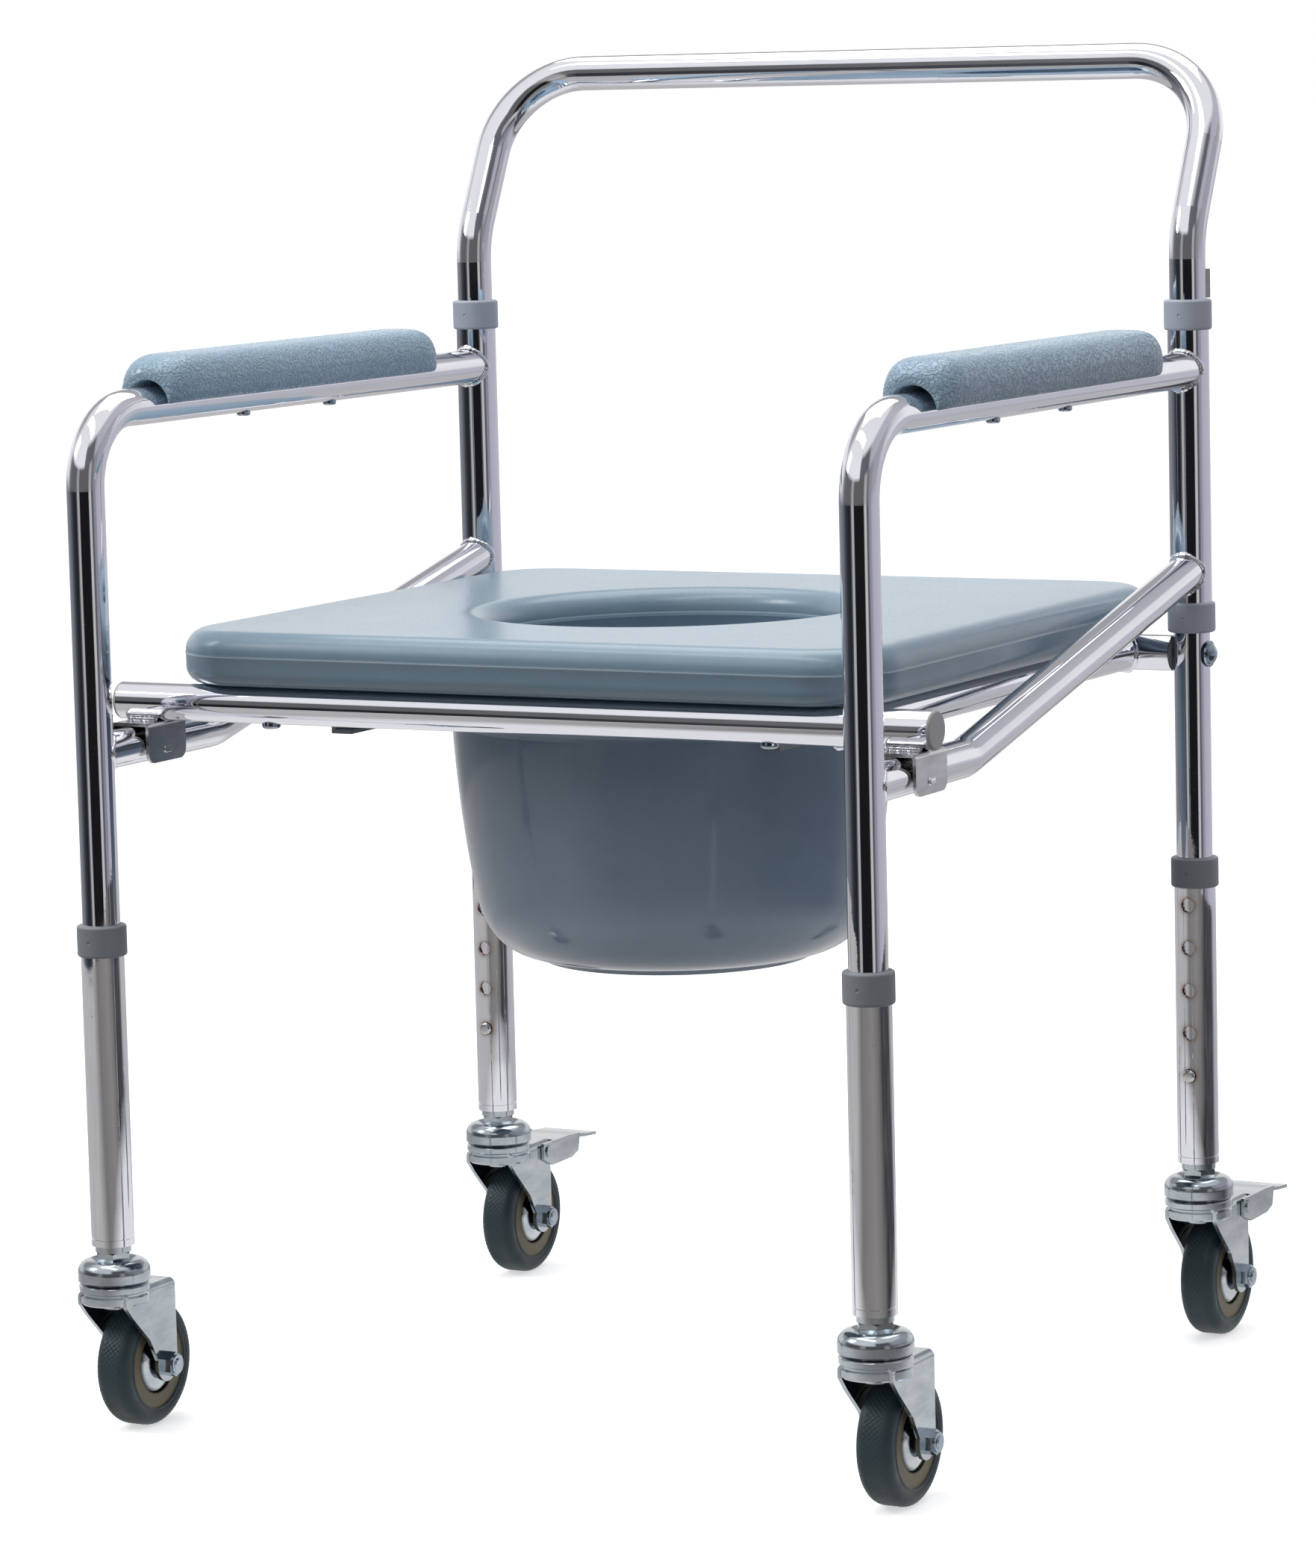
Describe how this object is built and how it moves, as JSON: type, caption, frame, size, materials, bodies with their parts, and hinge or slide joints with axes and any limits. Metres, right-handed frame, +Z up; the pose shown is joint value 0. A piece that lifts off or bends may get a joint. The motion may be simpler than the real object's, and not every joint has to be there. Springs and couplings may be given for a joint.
{
  "type": "commode chair",
  "caption": "Folding commode chair on castors: bent chrome tube frame, moulded seat board with a round hole and sliding pail, padded armrests, telescoping legs and braked rear castors.",
  "frame": {"origin": "on the floor, under the middle of the chair's bounding box", "axes": "+Z up, +Y towards the back of the chair, +X to its right as seen from the front"},
  "size_m": [0.5466, 0.5784, 0.8011],
  "materials": {
    "chrome_tube": "bright chrome plating on steel tube",
    "collar_plastic": "grey moulded plastic",
    "zinc_steel": "zinc plated pressed steel",
    "plated_clip": "dull plated sheet steel",
    "seat_plastic": "smooth blow-moulded plastic, pale steel blue",
    "pail_plastic": "glossy blue-grey plastic",
    "pad_foam": "soft moulded foam with a grained skin, pale blue",
    "runner_plastic": "grey plastic",
    "tyre_rubber": "dark blue-grey rubber with a fine moulded texture",
    "core_plastic": "khaki plastic"
  },
  "bodies": {
    "frame": {"back_hoop": "chrome_tube", "arm_tube_left": "chrome_tube", "arm_tube_right": "chrome_tube", "post_sleeves": "chrome_tube", "side_rail_left": "chrome_tube", "side_rail_right": "chrome_tube", "armrest_pad_left": "pad_foam", "armrest_pad_right": "pad_foam", "pad_screws": "zinc_steel", "post_collars": "collar_plastic", "pivot_bolts": "zinc_steel", "stop_tabs": "plated_clip"},
    "seat": {"front_cross_tube": "chrome_tube", "rear_cross_tube": "chrome_tube", "seat_side_tubes": "chrome_tube", "seat_clips": "plated_clip", "tube_end_caps": "collar_plastic", "pivot_bushes": "runner_plastic", "seat_board": "seat_plastic", "seat_screws": "zinc_steel", "pail_runners": "runner_plastic"},
    "pail": {"pail": "pail_plastic"},
    "leg_front_left": {"leg_tube_front_left": "chrome_tube", "leg_collar_front_left": "collar_plastic", "castor_mount_front_left": "zinc_steel"},
    "button_front_left": {"snap_button_front_left": "plated_clip"},
    "castor_front_left": {"fork_front_left": "zinc_steel", "axle_bolt_front_left": "zinc_steel"},
    "wheel_front_left": {"tyre_front_left": "tyre_rubber", "wheel_core_front_left": "core_plastic", "hub_covers_front_left": "zinc_steel"},
    "leg_front_right": {"leg_tube_front_right": "chrome_tube", "leg_collar_front_right": "collar_plastic", "castor_mount_front_right": "zinc_steel"},
    "button_front_right": {"snap_button_front_right": "plated_clip"},
    "castor_front_right": {"fork_front_right": "zinc_steel", "axle_bolt_front_right": "zinc_steel"},
    "wheel_front_right": {"tyre_front_right": "tyre_rubber", "wheel_core_front_right": "core_plastic", "hub_covers_front_right": "zinc_steel"},
    "leg_rear_left": {"leg_tube_rear_left": "chrome_tube", "leg_collar_rear_left": "collar_plastic", "castor_mount_rear_left": "zinc_steel"},
    "button_rear_left": {"snap_button_rear_left": "plated_clip"},
    "castor_rear_left": {"fork_rear_left": "zinc_steel", "axle_bolt_rear_left": "zinc_steel"},
    "wheel_rear_left": {"tyre_rear_left": "tyre_rubber", "wheel_core_rear_left": "core_plastic", "hub_covers_rear_left": "zinc_steel"},
    "pedal_rear_left": {"brake_pedal_rear_left": "zinc_steel"},
    "leg_rear_right": {"leg_tube_rear_right": "chrome_tube", "leg_collar_rear_right": "collar_plastic", "castor_mount_rear_right": "zinc_steel"},
    "button_rear_right": {"snap_button_rear_right": "plated_clip"},
    "castor_rear_right": {"fork_rear_right": "zinc_steel", "axle_bolt_rear_right": "zinc_steel"},
    "wheel_rear_right": {"tyre_rear_right": "tyre_rubber", "wheel_core_rear_right": "core_plastic", "hub_covers_rear_right": "zinc_steel"},
    "pedal_rear_right": {"brake_pedal_rear_right": "zinc_steel"}
  },
  "joints": [
    {"name": "seat_lift", "type": "hinge", "parent": "frame", "child": "seat", "pos_m": [0, 0.1912, 0.4298], "axis": [-1, 0, 0], "range_deg": [0, 20]},
    {"name": "pail_slide", "type": "slide", "parent": "seat", "child": "pail", "axis": [0, 1, 0], "range_m": [0, 0.3]},
    {"name": "leg_slide_front_left", "type": "slide", "parent": "frame", "child": "leg_front_left", "axis": [0, 0, -1], "range_m": [0, 0.106], "deforming": ["snap_button_front_left"]},
    {"name": "button_press_front_left", "type": "slide", "parent": "frame", "child": "button_front_left", "axis": [0, -1, 0], "range_m": [0, 0.0046], "stiffness_N_per_m": 2000, "deforming": ["snap_button_front_left"]},
    {"name": "castor_swivel_front_left", "type": "hinge", "parent": "leg_front_left", "child": "castor_front_left", "pos_m": [-0.2492, -0.2678, 0.09], "axis": [0, 0, 1], "continuous": true},
    {"name": "wheel_spin_front_left", "type": "hinge", "parent": "castor_front_left", "child": "wheel_front_left", "pos_m": [-0.2492, -0.2398, 0.0375], "axis": [1, 0, 0], "continuous": true},
    {"name": "leg_slide_front_right", "type": "slide", "parent": "frame", "child": "leg_front_right", "axis": [0, 0, -1], "range_m": [0, 0.106], "deforming": ["snap_button_front_right"]},
    {"name": "button_press_front_right", "type": "slide", "parent": "frame", "child": "button_front_right", "axis": [0, -1, 0], "range_m": [0, 0.0046], "stiffness_N_per_m": 2000, "deforming": ["snap_button_front_right"]},
    {"name": "castor_swivel_front_right", "type": "hinge", "parent": "leg_front_right", "child": "castor_front_right", "pos_m": [0.2492, -0.2678, 0.09], "axis": [0, 0, 1], "continuous": true},
    {"name": "wheel_spin_front_right", "type": "hinge", "parent": "castor_front_right", "child": "wheel_front_right", "pos_m": [0.2492, -0.2398, 0.0375], "axis": [1, 0, 0], "continuous": true},
    {"name": "leg_slide_rear_left", "type": "slide", "parent": "frame", "child": "leg_rear_left", "axis": [0, 0, -1], "range_m": [0, 0.106], "deforming": ["snap_button_rear_left"]},
    {"name": "button_press_rear_left", "type": "slide", "parent": "frame", "child": "button_rear_left", "axis": [0, 1, 0], "range_m": [0, 0.0046], "stiffness_N_per_m": 2000, "deforming": ["snap_button_rear_left"]},
    {"name": "castor_swivel_rear_left", "type": "hinge", "parent": "leg_rear_left", "child": "castor_rear_left", "pos_m": [-0.2492, 0.1912, 0.09], "axis": [0, 0, 1], "continuous": true},
    {"name": "wheel_spin_rear_left", "type": "hinge", "parent": "castor_rear_left", "child": "wheel_rear_left", "pos_m": [-0.2492, 0.2192, 0.0375], "axis": [1, 0, 0], "continuous": true},
    {"name": "brake_rear_left", "type": "hinge", "parent": "castor_rear_left", "child": "pedal_rear_left", "pos_m": [-0.2492, 0.2242, 0.0805], "axis": [-1, 0, 0], "range_deg": [0, 7]},
    {"name": "leg_slide_rear_right", "type": "slide", "parent": "frame", "child": "leg_rear_right", "axis": [0, 0, -1], "range_m": [0, 0.106], "deforming": ["snap_button_rear_right"]},
    {"name": "button_press_rear_right", "type": "slide", "parent": "frame", "child": "button_rear_right", "axis": [0, 1, 0], "range_m": [0, 0.0046], "stiffness_N_per_m": 2000, "deforming": ["snap_button_rear_right"]},
    {"name": "castor_swivel_rear_right", "type": "hinge", "parent": "leg_rear_right", "child": "castor_rear_right", "pos_m": [0.2492, 0.1912, 0.09], "axis": [0, 0, 1], "continuous": true},
    {"name": "wheel_spin_rear_right", "type": "hinge", "parent": "castor_rear_right", "child": "wheel_rear_right", "pos_m": [0.2492, 0.2192, 0.0375], "axis": [1, 0, 0], "continuous": true},
    {"name": "brake_rear_right", "type": "hinge", "parent": "castor_rear_right", "child": "pedal_rear_right", "pos_m": [0.2492, 0.2242, 0.0805], "axis": [-1, 0, 0], "range_deg": [0, 7]}
  ]
}
